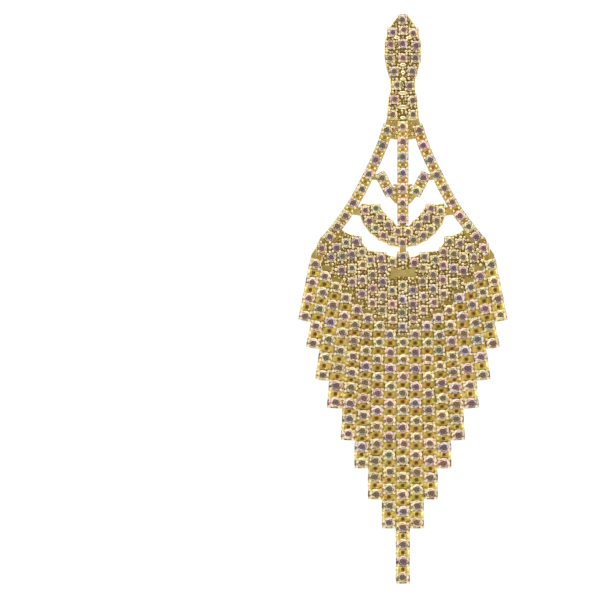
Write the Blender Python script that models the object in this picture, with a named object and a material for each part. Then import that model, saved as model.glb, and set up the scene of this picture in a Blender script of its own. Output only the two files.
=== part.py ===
"""A chandelier earring: an openwork backing frame with a marquise head, two
rails, a stem, two leaves, a crescent and a wide V of stones, and a fringe of
seventeen cup chains. Metres, +Z up, front towards -Y. The origin is where the
ear post leaves its pad."""
import math

import bmesh
import bpy
from mathutils import Vector
from mathutils.geometry import intersect_point_line

# Driving sizes, in metres
EARRING_LENGTH = 0.110
STRAND_GAP = 0.00005
STONE_GAP = 0.00003
CROWN_HEIGHT = 0.00035
SLAB_THICKNESS = 0.0008
PLATE_THICKNESS = 0.0004
SEAT_GAP = 0.0001
LINK_INSET = 0.0001
LINK_DEPTH = 0.00030
STRAND_WIDTH = 0.0026
EYE_WIDTH = 0.0020
EYE_RIM = 0.00036
STRIP_WIDTH = 0.0012
WEB_WIDTH = 0.0016
PIN_RADIUS = 0.00025
PIN_HEAD_THICKNESS = 0.00025
EYE_CLEARANCE = 0.00012
PAD_RADIUS = 0.0026
PAD_THICKNESS = 0.0005
POST_RADIUS = 0.0004
POST_LENGTH = 0.0105
POST_TIP_LENGTH = 0.0006

# Shares of the length: the closest two strands, the V's rim beside and below its
# stones, and the room that each of its steps leaves beside and above the next
# strand's first stone
CLOSEST_STRANDS_SHARE = 0.0201
V_RIM_SHARE = 0.0102
V_HEM_SHARE = 0.0150
V_STEP_SHARE = 0.0135
V_LIFT_SHARE = 0.0125

# Shares of a stone's width, or its corner's radius, that its table takes
CHAIN_TABLE_SHARE = 0.56
FIELD_TABLE_SHARE = 0.66

# Sizes that follow from these
CUP_WIDTH = CLOSEST_STRANDS_SHARE * EARRING_LENGTH - STRAND_GAP
CUP_LENGTH = CUP_WIDTH
EYE_HOLE_HALF = PIN_RADIUS + EYE_CLEARANCE
PIN_HEAD_RADIUS = EYE_HOLE_HALF + EYE_RIM / 2

# Counts of sides
PIN_SIDES = 6
POST_SIDES = 12
OCTAGON_SIDES = 8

# Depths along Y, from the back of the pad forwards
PLATE_BACK = -PAD_THICKNESS - SEAT_GAP
PLATE_FRONT = PLATE_BACK - PLATE_THICKNESS
SLAB_BACK = PLATE_FRONT - SEAT_GAP
GIRDLE = SLAB_BACK - SLAB_THICKNESS
TABLE = GIRDLE - CROWN_HEIGHT
LINK_FRONT = PLATE_BACK + SEAT_GAP
CUP_BACK = LINK_FRONT + LINK_DEPTH
ROW_LINK_FRONT = SLAB_BACK - LINK_DEPTH
PIN_HEAD_FRONT = CUP_BACK + SEAT_GAP
PIN_HEAD_BACK = PIN_HEAD_FRONT + PIN_HEAD_THICKNESS

# Every table below holds shares of the earring's length: across from the
# middle line, and up from the ear post.

# Head and neck: stones on the middle line and on one side
HEAD_MIDDLE = [(0, 0.0563), (0, 0.0370), (0, 0.0132), (0, -0.0106)]
HEAD_SIDE = [
    (0.0183, 0.0335), (0.0222, 0.0111), (0.0222, -0.0114), (0.0162, -0.0347),
    (0.0113, -0.0599), (0.0157, -0.0852), (0.0176, -0.1100),
]
HEAD_OUTLINE = [
    (0, 0.0665), (0.0079, 0.0644), (0.0167, 0.0537), (0.0264, 0.0387), (0.0320, 0.0176),
    (0.0327, -0.0053), (0.0290, -0.0282), (0.0229, -0.0475), (0.0218, -0.0634),
    (0.0264, -0.0863), (0.0285, -0.1092), (0.0264, -0.1202), (0, -0.1202),
]

# Rail stones, from the neck to the end of the V
RAIL_STONES = [
    (0.0275, -0.1373), (0.0363, -0.1646), (0.0475, -0.1907), (0.0599, -0.2162), (0.0725, -0.2412),
    (0.0863, -0.2658), (0.1011, -0.2887), (0.1151, -0.3074), (0.1294, -0.3255),
]
RAIL_STRIP = [
    (0.0211, -0.1127), (0.0275, -0.1373), (0.0363, -0.1646), (0.0475, -0.1907), (0.0599, -0.2162),
    (0.0725, -0.2412), (0.0863, -0.2658), (0.1011, -0.2887), (0.1151, -0.3074), (0.1338, -0.3310),
]
RAIL_END_WEB = [
    (0.1053, -0.3146), (0.1190, -0.3040), (0.1380, -0.3215), (0.1454, -0.3275), (0.1500, -0.3368),
    (0.1280, -0.3440), (0.1202, -0.3350),
]
NECK_WEB = [
    (0, -0.1127), (0.0264, -0.1127), (0.0326, -0.1426),
    (0.0273, -0.1514), (0.0141, -0.1540), (0, -0.1549),
]

# Stem: its first and last stones, and its strip down to the V
STEM_FIRST = (0, -0.1313)
STEM_LAST = (0, -0.2940)
STEM_COUNT = 7
STEM_STRIP = [(0, -0.1162), (0, -0.3768)]

# Leaves, from the stem outwards
LEAF_STONES = [(0.0250, -0.2447), (0.0370, -0.2218)]
LEAF_STRIP = [(0, -0.2588), (0.0250, -0.2447), (0.0370, -0.2218), (0.0651, -0.2183)]
LEAF_WEB = [(0, -0.2359), (0.0158, -0.2324), (0.0246, -0.2535), (0.0141, -0.2658), (0, -0.2729)]

# Crescent: middle stone, one side's stones and one side's outline
CRESCENT_MIDDLE = [(0, -0.3352)]
CRESCENT_SIDE = [
    (0.0180, -0.3317), (0.0349, -0.3234), (0.0489, -0.3116), (0.0599, -0.2965), (0.0669, -0.2794),
    (0.0093, -0.3155), (0.0255, -0.3053), (0.0393, -0.2926), (0.0486, -0.2768),
]
CRESCENT_OUTLINE = [
    (0, -0.3056), (0.0114, -0.3056), (0.0176, -0.2972), (0.0317, -0.2836), (0.0423, -0.2665),
    (0.0581, -0.2676), (0.0722, -0.2669), (0.0775, -0.2808), (0.0704, -0.3019), (0.0581, -0.3187),
    (0.0414, -0.3324), (0.0211, -0.3419), (0, -0.3451),
]
CRESCENT_WEB = [(0.0704, -0.2817), (0.0933, -0.2782)]

# The V: its lowest stones carry the strands, and more stand above each
V_MIDDLE = [(0, -0.4842), (0, -0.4595), (0, -0.4349), (0, -0.4102), (0, -0.3609)]
V_LOWEST = [
    (0, -0.4842), (0.0180, -0.4692), (0.0357, -0.4542), (0.0537, -0.4410), (0.0711, -0.4252),
    (0.0889, -0.4055), (0.1070, -0.3847), (0.1254, -0.3627), (0.1419, -0.3451),
]
V_UPPER = [
    (0.0180, -0.4445), (0.0180, -0.4199),
    (0.0357, -0.4296), (0.0357, -0.4049), (0.0357, -0.3806), (0.0194, -0.3704), (0.0379, -0.3618),
    (0.0537, -0.4164), (0.0537, -0.3917), (0.0563, -0.3667),
    (0.0711, -0.4005), (0.0718, -0.3759), (0.0722, -0.3521),
    (0.0889, -0.3808), (0.0894, -0.3562), (0.0815, -0.3335),
    (0.1070, -0.3602), (0.0996, -0.3368), (0.1169, -0.3447),
]
V_TOP = [
    (0.1532, -0.3433), (0.1454, -0.3275), (0.1280, -0.3419), (0.1202, -0.3331), (0.1053, -0.3146),
    (0.0898, -0.3213), (0.0783, -0.3236), (0.0704, -0.3363), (0.0616, -0.3486), (0.0379, -0.3514),
    (0.0211, -0.3585), (0.0116, -0.3627), (0.0099, -0.3514), (0, -0.3514),
]
# Fringe, from the middle outwards: count of stones, first stone and last stone
STRANDS = [
    (15, (0, -0.5123), (0, -0.9252)),
    (12, (0.0220, -0.4974), (0.0245, -0.8283)),
    (11, (0.0423, -0.4824), (0.0491, -0.7773)),
    (10, (0.0620, -0.4692), (0.0729, -0.7227)),
    (9, (0.0810, -0.4533), (0.0968, -0.6734)),
    (7, (0.0993, -0.4340), (0.1208, -0.6171)),
    (6, (0.1176, -0.4146), (0.1408, -0.5678)),
    (5, (0.1349, -0.3944), (0.1567, -0.5114)),
    (4, (0.1537, -0.3741), (0.1711, -0.4639)),
]

# Colours: base colour, metallic and roughness
METAL = ((0.72, 0.52, 0.24, 1.0), 1.0, 0.25)
STONE_AND_METAL = ((0.80, 0.70, 0.62, 1.0), 0.6, 0.15)


def clear_scene():
    for item in list(bpy.data.objects):
        bpy.data.objects.remove(item, do_unlink=True)


def make_material(name, look):
    colour, metallic, roughness = look
    material = bpy.data.materials.new(name)
    material.use_nodes = True
    shader = material.node_tree.nodes["Principled BSDF"]
    shader.inputs["Base Color"].default_value = colour
    shader.inputs["Metallic"].default_value = metallic
    shader.inputs["Roughness"].default_value = roughness
    material.diffuse_color = colour
    return material


def make_mesh(name, points, faces):
    mesh = bpy.data.meshes.new(name)
    mesh.from_pydata([tuple(point) for point in points], [], faces)
    shape = bmesh.new()
    shape.from_mesh(mesh)
    bmesh.ops.recalc_face_normals(shape, faces=shape.faces)
    shape.to_mesh(mesh)
    shape.free()
    made = bpy.data.objects.new(name, mesh)
    bpy.context.collection.objects.link(made)
    return made


def place(share):
    """A point of a table, in metres, as a vector in the XZ plane."""
    return Vector((share[0] * EARRING_LENGTH, share[1] * EARRING_LENGTH))


def mirrored(point):
    return Vector((-point.x, point.y))


def solid_point(flat, depth):
    return Vector((flat.x, depth, flat.y))


# Solids between two depths

def prism(name, outline, front, back):
    """An outline, listed either way round, made solid between two depths."""
    area = sum(
        a.x * b.y - b.x * a.y for a, b in zip(outline, outline[1:] + outline[:1])
    )
    if area < 0:
        outline = outline[::-1]
    count = len(outline)
    points = [solid_point(p, front) for p in outline]
    points += [solid_point(p, back) for p in outline]
    faces = [list(range(count)), list(range(2 * count - 1, count - 1, -1))]
    for i in range(count):
        j = (i + 1) % count
        faces.append([j, i, count + i, count + j])
    return make_mesh(name, points, faces)


def strip_outline(path, width):
    """The outline of a strip of even width along a path."""
    left, right = [], []
    for i, point in enumerate(path):
        before = path[max(i - 1, 0)]
        after = path[min(i + 1, len(path) - 1)]
        along = (after - before).normalized()
        side = Vector((-along.y, along.x)) * width / 2
        left.append(point + side)
        right.append(point - side)
    return left + right[::-1]


def whole_outline(half):
    """Both halves of an outline whose first and last points are on the middle line."""
    edge = EARRING_LENGTH * 1e-6
    other = [mirrored(p) for p in reversed(half) if p.x > edge]
    return half + other


def polygon_ring(centre, radius, count, depth):
    ring = []
    for i in range(count):
        angle = math.tau * (i + 0.5) / count
        out = Vector((math.cos(angle), math.sin(angle)))
        ring.append(solid_point(centre + radius * out, depth))
    return ring


def loft(rings):
    """Closed rings, each listed the same way round from the front to the back."""
    points, faces = [], []
    for ring in rings:
        points += ring
    count = len(rings[0])
    faces.append(list(range(count)))
    for level in range(len(rings) - 1):
        start = level * count
        for i in range(count):
            j = (i + 1) % count
            faces.append([start + j, start + i, start + count + i, start + count + j])
    last = (len(rings) - 1) * count
    faces.append([last + i for i in reversed(range(count))])
    return points, faces


def joined(parts):
    """Several closed bodies as one list of points and one of faces."""
    points, faces = [], []
    for more_points, more_faces in parts:
        start = len(points)
        points += more_points
        faces += [[start + i for i in face] for face in more_faces]
    return points, faces


def unite(base, tools):
    """Boolean union of the tools into the base, applied at once."""
    for tool in tools:
        modifier = base.modifiers.new("unite", "BOOLEAN")
        modifier.operation = "UNION"
        modifier.solver = "EXACT"
        modifier.object = tool
        graph = bpy.context.evaluated_depsgraph_get()
        mesh = bpy.data.meshes.new_from_object(base.evaluated_get(graph))
        base.modifiers.remove(modifier)
        base.data = mesh
        bpy.data.objects.remove(tool, do_unlink=True)
    base.data.name = base.name
    return base


# Stones set in a slab

def girdle_radius():
    """The largest radius that keeps every two stones of the fields a gap apart."""
    closest = EARRING_LENGTH
    for middle, side in (
        (HEAD_MIDDLE, HEAD_SIDE),
        (CRESCENT_MIDDLE, CRESCENT_SIDE),
        (V_MIDDLE, V_LOWEST[1:] + V_UPPER),
    ):
        stones = both_sides(middle, side)
        for i, stone in enumerate(stones):
            for other in stones[i + 1:]:
                closest = min(closest, (stone - other).length)
    return (closest - STONE_GAP) / 2


def crown(centre, radius):
    """A cut stone's crown with eight facets and a square table, rooted in its slab."""
    girdle = polygon_ring(centre, radius, OCTAGON_SIDES, GIRDLE)
    root = polygon_ring(centre, radius, OCTAGON_SIDES, GIRDLE + SLAB_THICKNESS / 2)
    table = polygon_ring(centre, radius * FIELD_TABLE_SHARE, 4, TABLE)
    points = table + girdle + root
    faces = [[0, 1, 2, 3]]
    ring, back = 4, 4 + OCTAGON_SIDES
    for i in range(4):
        a, b = ring + 2 * i, ring + 2 * i + 1
        c = ring + (2 * i + 2) % OCTAGON_SIDES
        faces.append([b, a, i])
        faces.append([c, b, i, (i + 1) % 4])
    for i in range(OCTAGON_SIDES):
        j = (i + 1) % OCTAGON_SIDES
        faces.append([ring + j, ring + i, back + i, back + j])
    faces.append([back + i for i in reversed(range(OCTAGON_SIDES))])
    return points, faces


def both_sides(middle, side):
    stones = [place(share) for share in middle]
    for share in side:
        stones.append(place(share))
        stones.append(mirrored(place(share)))
    return stones


def stone_field(name, stones, outline, material):
    slab = prism(name, outline, GIRDLE, SLAB_BACK)
    radius = girdle_radius()
    crowns = make_mesh(name + "_crowns", *joined([crown(s, radius) for s in stones]))
    unite(slab, [crowns])
    slab.data.materials.clear()
    slab.data.materials.append(material)
    return slab


# Cup chains

def cup_ring(centre, side, half, link_front, back):
    """The eight corners of one end of a cup, with those of its link."""
    inner = half - LINK_INSET
    ring = {}
    for sign in (1, -1):
        edge, inside = centre + side * sign * half, centre + side * sign * inner
        ring["front", sign] = solid_point(edge, GIRDLE)
        ring["back", sign] = solid_point(edge, back)
        ring["link_front", sign] = solid_point(inside, link_front)
        ring["link_back", sign] = solid_point(inside, back)
    return ring


class ChainMesh:
    """Points and faces of one cup chain, made end by end."""

    def __init__(self):
        self.points = []
        self.faces = []

    def add(self, ring):
        numbers = {}
        for key, point in ring.items():
            numbers[key] = len(self.points)
            self.points.append(point)
        return numbers

    def cup(self, start, end, centre, along, side):
        """The box of one cup, whose end faces leave out the links, and its stone."""
        for ring in (start, end):
            self.faces.append([
                ring["front", 1], ring["back", 1], ring["link_back", 1],
                ring["link_front", 1], ring["link_front", -1], ring["link_back", -1],
                ring["back", -1], ring["front", -1],
            ])
        for sign in (1, -1):
            self.faces.append([
                start["front", sign], end["front", sign],
                end["back", sign], start["back", sign],
            ])
        self.faces.append([
            start["back", 1], end["back", 1], end["link_back", 1], end["link_back", -1],
            end["back", -1], start["back", -1], start["link_back", -1],
            start["link_back", 1],
        ])
        self.stone(start, end, centre, along, side)

    def stone(self, start, end, centre, along, side):
        """The crown: four facets from the edges, four from the corners, and a table."""
        half = min(CUP_WIDTH, CUP_LENGTH) / 2 * CHAIN_TABLE_SHARE
        cut = half * math.tan(math.pi / OCTAGON_SIDES)
        table = []
        for across, down in (
            (half, -cut), (half, cut), (cut, half), (-cut, half),
            (-half, cut), (-half, -cut), (-cut, -half), (cut, -half),
        ):
            table.append(len(self.points))
            flat = centre + side * across + along * down
            self.points.append(solid_point(flat, TABLE))
        corners = [
            start["front", 1], end["front", 1], end["front", -1], start["front", -1],
        ]
        for i in range(4):
            low, high = table[2 * i], table[2 * i + 1]
            after = table[(2 * i + 2) % OCTAGON_SIDES]
            nxt = corners[(i + 1) % 4]
            self.faces.append([corners[i], low, high, nxt])
            self.faces.append([high, after, nxt])
        self.faces.append(table[::-1])

    def free_end(self, ring):
        """The link's section on an end that no link leaves."""
        self.faces.append([
            ring["link_front", 1], ring["link_back", 1],
            ring["link_back", -1], ring["link_front", -1],
        ])

    def link(self, end, start):
        """The strap from the end of one cup to the start of the next."""
        around = (
            ("link_front", 1), ("link_back", 1), ("link_back", -1), ("link_front", -1),
        )
        for i, here in enumerate(around):
            after = around[(i + 1) % 4]
            self.faces.append([end[here], start[here], start[after], end[after]])

    def eye(self, start, pin, back, link_front):
        """A strap from the first cup to over its pin, with a hole for the pin."""
        base = (start["back", 1], start["back", -1])
        middle = (self.points[base[0]] + self.points[base[1]]) / 2
        foot = Vector((middle.x, middle.z))
        along = (pin - foot).normalized()
        side = Vector((along.y, -along.x))
        if side.dot(Vector((1, 0))) < 0:
            side = -side
        reach = PIN_RADIUS + SEAT_GAP
        sections = (
            ("sill", pin - along * reach, EYE_HOLE_HALF),
            ("hole", pin + along * reach, EYE_HOLE_HALF),
            ("top", pin + along * (reach + EYE_RIM), EYE_WIDTH / 2),
        )
        corner = {}
        for sign in (1, -1):
            for face, depth in (("link_front", link_front), ("link_back", back)):
                for level, centre, half in sections:
                    point = centre + side * sign * half
                    corner[level, face, sign] = solid_point(point, depth)
        corner = self.add(corner)
        for face in ("link_front", "link_back"):
            for sign in (1, -1):
                corner["foot", face, sign] = start[face, sign]
                self.faces.append([
                    start[face, sign], corner["sill", face, sign],
                    corner["hole", face, sign], corner["top", face, sign],
                ])
            for lower, upper in (("foot", "sill"), ("hole", "top")):
                self.faces.append([
                    corner[lower, face, 1], corner[upper, face, 1],
                    corner[upper, face, -1], corner[lower, face, -1],
                ])
        for lower, upper in (("foot", "top"), ("sill", "hole")):
            for sign in (1, -1):
                self.faces.append([
                    corner[lower, "link_front", sign], corner[upper, "link_front", sign],
                    corner[upper, "link_back", sign], corner[lower, "link_back", sign],
                ])
        for level in ("sill", "hole", "top"):
            self.faces.append([
                corner[level, "link_front", 1], corner[level, "link_front", -1],
                corner[level, "link_back", -1], corner[level, "link_back", 1],
            ])


def cup_chain(name, stones, halves, material, link_front, back, pin=None):
    """Cups of the given half widths at the stones, hung over a pin if one is given."""
    chain = ChainMesh()
    rings = []
    for i, centre in enumerate(stones):
        before = stones[max(i - 1, 0)]
        after = stones[min(i + 1, len(stones) - 1)]
        along = (after - before).normalized()
        side = Vector((-along.y, along.x))
        ends = [
            chain.add(cup_ring(centre + along * reach, side, halves[i], link_front, back))
            for reach in (-CUP_LENGTH / 2, CUP_LENGTH / 2)
        ]
        chain.cup(ends[0], ends[1], centre, along, side)
        rings.append(ends)
    for (_, end), (start, _) in zip(rings, rings[1:]):
        chain.link(end, start)
    chain.free_end(rings[-1][1])
    if pin is None:
        chain.free_end(rings[0][0])
    else:
        chain.eye(rings[0][0], pin, back, link_front)
    made = make_mesh(name, chain.points, chain.faces)
    made.data.materials.append(material)
    return made


def evenly(first, last, count):
    return [first.lerp(last, i / (count - 1)) for i in range(count)]


# The backing frame

def v_half_outline():
    """One half of the V's outline: stepped down to the strands, then its top."""
    edge, hem = V_RIM_SHARE * EARRING_LENGTH, V_HEM_SHARE * EARRING_LENGTH
    room, lift = V_STEP_SHARE * EARRING_LENGTH, V_LIFT_SHARE * EARRING_LENGTH
    lowest = [place(share) for share in V_LOWEST]
    strands = [place(first) for _, first, _ in STRANDS]
    half = [Vector((0, lowest[0].y - hem))]
    for here, after, strand in zip(lowest, lowest[1:], strands[1:]):
        corner = max(here.x + edge, strand.x - room)
        half.append(Vector((corner, here.y - hem)))
        half.append(Vector((corner, strand.y + lift)))
        half.append(Vector((max(after.x, corner), after.y - hem)))
    half.append(Vector((lowest[-1].x + edge, lowest[-1].y - hem)))
    return half + [place(share) for share in V_TOP]


def pin_and_head(centre):
    """A pin behind the plate with a head that keeps an eye on it."""
    root = PLATE_BACK - PLATE_THICKNESS / 2
    return loft([
        polygon_ring(centre, PIN_RADIUS, PIN_SIDES, root),
        polygon_ring(centre, PIN_RADIUS, PIN_SIDES, PIN_HEAD_FRONT),
        polygon_ring(centre, PIN_HEAD_RADIUS, PIN_SIDES, PIN_HEAD_FRONT),
        polygon_ring(centre, PIN_HEAD_RADIUS, PIN_SIDES, PIN_HEAD_BACK),
    ])


def frame_piece(outline):
    return prism("piece", outline, PLATE_FRONT, PLATE_BACK)


def side_pieces():
    """The outlines on one side that the mirror repeats."""
    return [
        [place(s) for s in RAIL_END_WEB],
        strip_outline([place(s) for s in RAIL_STRIP], STRIP_WIDTH),
        strip_outline([place(s) for s in LEAF_STRIP], STRIP_WIDTH),
        strip_outline([place(s) for s in CRESCENT_WEB], WEB_WIDTH),
    ]


def backing_frame(material):
    frame = prism(
        "backing_frame",
        whole_outline([place(s) for s in HEAD_OUTLINE]),
        PLATE_FRONT,
        PLATE_BACK,
    )
    pieces = [
        whole_outline([place(s) for s in NECK_WEB]),
        strip_outline([place(s) for s in STEM_STRIP], STRIP_WIDTH),
        whole_outline([place(s) for s in LEAF_WEB]),
        whole_outline([place(s) for s in CRESCENT_OUTLINE]),
        whole_outline(v_half_outline()),
    ]
    for outline in side_pieces():
        pieces.append(outline)
        pieces.append([mirrored(p) for p in outline])
    unite(frame, [frame_piece(outline) for outline in pieces])
    anchors = both_sides(V_LOWEST[:1], V_LOWEST[1:])
    pins = make_mesh("pins", *joined([pin_and_head(a) for a in anchors]))
    unite(frame, [pins])
    frame.data.materials.clear()
    frame.data.materials.append(material)
    return frame


# The ear post

def ear_post(material):
    """A pad behind the head and a post that goes back through the ear."""
    centre = Vector((0, 0))
    tip = POST_LENGTH - POST_TIP_LENGTH
    points, faces = loft([
        polygon_ring(centre, PAD_RADIUS, POST_SIDES, -PAD_THICKNESS),
        polygon_ring(centre, PAD_RADIUS, POST_SIDES, 0.0),
        polygon_ring(centre, POST_RADIUS, POST_SIDES, 0.0),
        polygon_ring(centre, POST_RADIUS, POST_SIDES, tip),
        polygon_ring(centre, POST_RADIUS / 2, POST_SIDES, POST_LENGTH),
    ])
    made = make_mesh("ear_post", points, faces)
    made.data.materials.append(material)
    made.data.shade_smooth()
    made.data.set_sharp_from_angle(angle=math.radians(35))
    return made


def row_chain(name, stones, material):
    halves = [CUP_WIDTH / 2] * len(stones)
    return cup_chain(name, stones, halves, material, ROW_LINK_FRONT, SLAB_BACK)


def stone_rows(material):
    """The single rows that lie on the frame."""
    rail = [place(s) for s in RAIL_STONES]
    leaf = [place(s) for s in LEAF_STONES]
    stem = evenly(place(STEM_FIRST), place(STEM_LAST), STEM_COUNT)
    row_chain("centre_stem", stem, material)
    row_chain("right_rail", rail, material)
    row_chain("left_rail", [mirrored(p) for p in rail], material)
    row_chain("right_leaf", leaf, material)
    row_chain("left_leaf", [mirrored(p) for p in leaf], material)


def stone_fields(material):
    """The head, the crescent and the V, each with its stones in one slab."""
    stone_field(
        "head_cluster",
        both_sides(HEAD_MIDDLE, HEAD_SIDE),
        whole_outline([place(s) for s in HEAD_OUTLINE]),
        material,
    )
    stone_field(
        "crescent",
        both_sides(CRESCENT_MIDDLE, CRESCENT_SIDE),
        whole_outline([place(s) for s in CRESCENT_OUTLINE]),
        material,
    )
    stone_field(
        "v_yoke",
        both_sides(V_MIDDLE, V_LOWEST[1:] + V_UPPER),
        whole_outline(v_half_outline()),
        material,
    )


def strand_points(number):
    """The pin and the stones of one strand, counted outwards from the middle."""
    count, first, last = STRANDS[abs(number)]
    pin = place(V_LOWEST[abs(number)])
    stones = evenly(place(first), place(last), count)
    if number < 0:
        return mirrored(pin), [mirrored(p) for p in stones]
    return pin, stones


def clear_half(centre, number):
    """Half a cup's width there, so that the strands fan out and never touch."""
    half = STRAND_WIDTH / 2
    for other in (number - 1, number + 1):
        if abs(other) == len(STRANDS):
            continue
        pin, stones = strand_points(other)
        beyond = (stones[-1] - stones[0]).normalized() * CUP_LENGTH
        for one, two in ((pin, stones[0]), (stones[0] - beyond, stones[-1] + beyond)):
            share = intersect_point_line(centre, one, two)[1]
            nearest = one.lerp(two, min(max(share, 0.0), 1.0))
            half = min(half, ((centre - nearest).length - STRAND_GAP) / 2)
    return half


def fringe(material):
    """Seventeen strands, named by number from left to right."""
    side_count = len(STRANDS) - 1
    for number in range(-side_count, side_count + 1):
        pin, stones = strand_points(number)
        halves = [clear_half(stone, number) for stone in stones]
        name = f"strand_{number + side_count + 1:02d}"
        cup_chain(name, stones, halves, material, LINK_FRONT, CUP_BACK, pin)


def main():
    clear_scene()
    ear_post(make_material("post_metal", METAL))
    backing_frame(make_material("frame_metal", METAL))
    stone_rows(make_material("row_stones_and_cups", STONE_AND_METAL))
    stone_fields(make_material("field_stones_and_setting", STONE_AND_METAL))
    fringe(make_material("strand_stones_and_cups", STONE_AND_METAL))


main()
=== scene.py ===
"""A gold-plated chandelier earring hung with cut stones, dressed for a still."""

import math
import random

import bmesh
import bpy
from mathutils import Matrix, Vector
from mathutils.geometry import intersect_point_line


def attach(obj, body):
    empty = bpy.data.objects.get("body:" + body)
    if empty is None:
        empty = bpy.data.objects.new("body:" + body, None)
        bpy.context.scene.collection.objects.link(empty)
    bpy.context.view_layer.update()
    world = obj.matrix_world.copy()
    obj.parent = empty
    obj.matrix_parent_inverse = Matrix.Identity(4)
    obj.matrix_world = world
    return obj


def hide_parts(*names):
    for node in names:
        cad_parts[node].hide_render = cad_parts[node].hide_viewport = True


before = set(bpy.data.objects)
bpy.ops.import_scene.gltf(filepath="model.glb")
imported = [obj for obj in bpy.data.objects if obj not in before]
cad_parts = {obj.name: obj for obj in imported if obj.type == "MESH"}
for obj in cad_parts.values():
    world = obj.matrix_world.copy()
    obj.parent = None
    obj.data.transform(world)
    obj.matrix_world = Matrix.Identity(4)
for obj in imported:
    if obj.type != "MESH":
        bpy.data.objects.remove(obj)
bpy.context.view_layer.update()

# Sizes, in metres
LENGTH = 0.110
# Depths, with the front towards minus
GIRDLE = -0.0019
ROW_LINK_FRONT = -0.0014
SLAB_BACK = -0.0011
PLATE_FRONT = -0.0010
LINK_FRONT = -0.0005
CUP_BACK = -0.0002
HAIR = 0.00002
# Stones: the crown's rings are shares of the radius and of the table's rise
STONE_RADIUS = 0.00104
TABLE_RISE = 0.00035
TABLE_SHARE = 0.52
BEZEL_SHARE = 0.74
BEZEL_RISE_SHARE = 0.6
CULET_DROP = 0.00028
STONE_STRETCH = 0.85
# Cups
CUP_RADIUS = 0.00107
CUP_CORNER = 0.0006
FOOT_SHARE = 0.92
FOOT_CORNER = 0.0004
FOOT_RISE = 0.00018
WALL_DROP = 0.00016
LIP_INSET = 0.00007
FLOOR_INSET = 0.0001
FLOOR_DROP = 0.0003
NEARLY_ROUND = 0.00001
FIELD_SCALE = 0.935
CUP_SHAKE_DEGREES = 2
# How far the stones lean at most, in radians
ROW_TILT = 0.05
FIELD_TILT = 0.06
STRAND_TILT = 0.07
# Straps between cups: lobes and pocket are shares of half the strap's width, and the
# tuck under the cups is a share of the cup's radius
ROW_STRAP_RISE = 0.0005
STRAND_STRAP_RISE = 0.0003
LOBE_CENTRE = 0.6
LOBE_REACH = 0.4
POCKET_HALF = 0.2
POCKET_DROP = 0.00016
STRAP_TUCK = 0.2
# Strands and the eyes that hang them on their pins
STRAND_WIDTH = 0.0027
WIDEST_STRAND = 0.0031
STRAND_GAP = -0.00002
PIN_RADIUS = 0.00025
PIN_PLAY = 0.0001
EYE_WIDTH = 0.0020
EYE_RIM = 0.00036
EYE_SHOULDER = 0.0005
EYE_BACK = CUP_BACK - 0.00003
EYE_INSET = 0.0001
EYE_FOOT_SHARE = 0.4
EYE_TOP_SHARE = 0.32
EYE_HOLE_DEGREES = (-70, -35, 0, 35, 70, 110, 145, 180, 215, 250)
# Plates, the V's edges in shares of the length, grains in shares of their usual width
V_RIM_SHARE = 0.0102
V_HEM_SHARE = 0.0150
STEP_GAP = 0.00006
RIM_DROP = 0.00012
FIELD_PLATE = GIRDLE + 0.0005
FIELD_INSET = 0.0002
BOW_PLATE = GIRDLE + 0.0002
BOW_INSET = 0.00008
LOW_GRAINS = PLATE_FRONT - 0.00025
GRAIN_WIDTH = 0.00066
SMALLEST_GRAIN = 0.5
LARGEST_GRAIN = 1.15
GRAIN_TRIES = 20
GRAIN_REACH = 0.4
GRAIN_CLEARANCE = 0.2
# Points closer than this are one point, and this close to the middle line are on it
SAME_PLACE = 1e-7

# Points along the rows that the webs' grains keep clear of
STEM_SAMPLES = 61
ROW_SAMPLES = 7

# Where the random draws start; each strand adds its number to its two
WEB_SEED = 31
WEB_TONE_SEED = 32
STRAND_SEED = 60
STRAND_TONE_SEED = 40

# Painted light on the gold, from -1 for painted shade in a hollow to 1 for a painted highlight;
# rows of values run from a shape's back to its front, and on a strap from its middle to its sides
# Painted highlights on a cup's outer wall and rim, painted shade on its inner wall under the
# stone
CUP_PAINTED_LIGHT = (0.0, 0.4, 0.5, 0.1, -1.0)
# Painted highlights on the prongs, brightest at the bead
PRONG_PAINTED_HIGHLIGHT = (0.2, 0.6, 0.9, 1.0)
# Painted shade round a grain's foot and painted highlights on its top
BEAD_PAINTED_LIGHT = (-0.3, 0.5, 1.0)
# Painted shade and highlights across a strap's lobes, painted shade in its pocket, painted
# highlights at its ends and sides
ROW_LOBE_PAINTED_LIGHT = (0.0, 0.2, 0.7, 0.6)
STRAND_LOBE_PAINTED_LIGHT = (-0.35, -0.15, 0.25, 0.5)
ROW_POCKET_PAINTED_SHADE = -0.45
STRAND_POCKET_PAINTED_SHADE = -1.0
STRAP_END_PAINTED_HIGHLIGHT = 0.6
STRAP_SIDE_PAINTED_HIGHLIGHT = 0.7
# Painted highlights on a plate's rounded rim and sides, painted shade on the field plates'
# ground, none on the bow's
PLATE_EDGE_PAINTED_HIGHLIGHT = 0.4
PLATE_SIDE_PAINTED_HIGHLIGHT = 0.2
FIELD_GROUND_PAINTED_SHADE = -0.75
BOW_GROUND_PAINTED_LIGHT = 0.0

# The photograph in pixels: its side, and the earring's height, middle line and post
PHOTO_SIDE = 600
EARRING_HEIGHT = 568
MIDDLE_LINE = 402.7
POST_LEVEL = 52

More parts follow.
